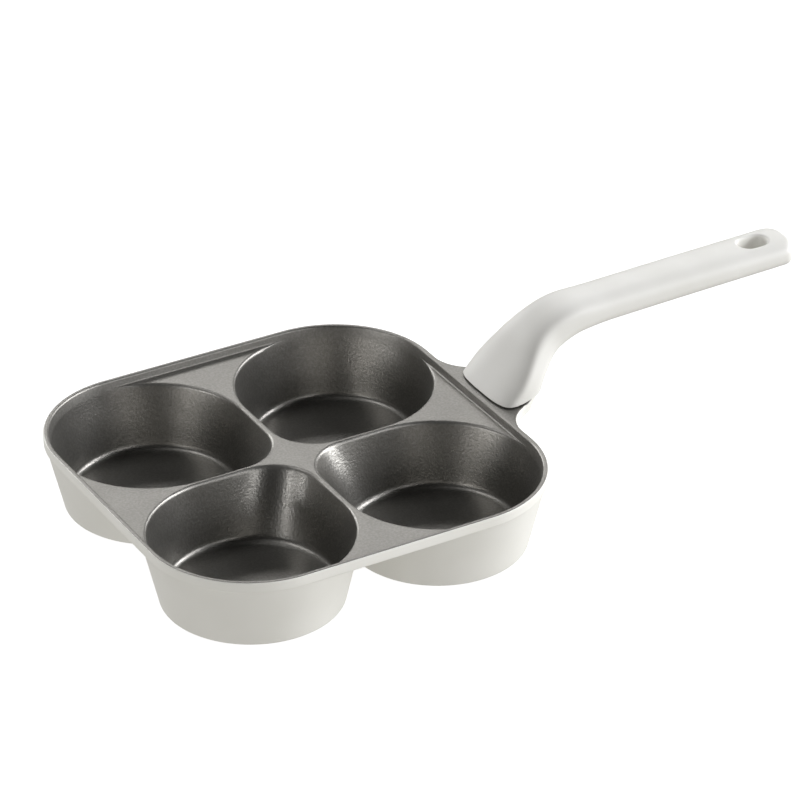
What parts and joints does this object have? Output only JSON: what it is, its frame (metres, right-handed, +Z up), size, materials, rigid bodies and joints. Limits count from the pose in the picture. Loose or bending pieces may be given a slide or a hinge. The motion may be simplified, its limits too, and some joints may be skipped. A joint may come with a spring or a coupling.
{
  "type": "egg pan",
  "caption": "Square egg pan with round cups, a dark non-stick inside, an ivory lacquered outside and a bent ivory handle with a hang hole, for frying eggs side by side.",
  "frame": {"origin": "on the table under the middle of the whole length", "axes": "+X along the handle, away from the pan; +Z up out of the cups"},
  "size_m": [0.3545, 0.19, 0.0751],
  "materials": {
    "lacquered_casting": "die-cast, ivory satin lacquer outside, dark grey speckled non-stick coat inside and on top",
    "phenolic_handle": "moulded phenolic, ivory satin",
    "silicone_gasket": "matt, dark",
    "steel_fastener": "zinc plated",
    "steel_disc": "turned, satin"
  },
  "bodies": {
    "root": {"pan_casting": "lacquered_casting", "handle": "phenolic_handle", "handle_gasket": "silicone_gasket", "handle_screw": "steel_fastener", "spring_washer": "steel_fastener", "base_disc_front": "steel_disc", "base_disc_right": "steel_disc", "base_disc_left": "steel_disc", "base_disc_back": "steel_disc"}
  },
  "joints": []
}
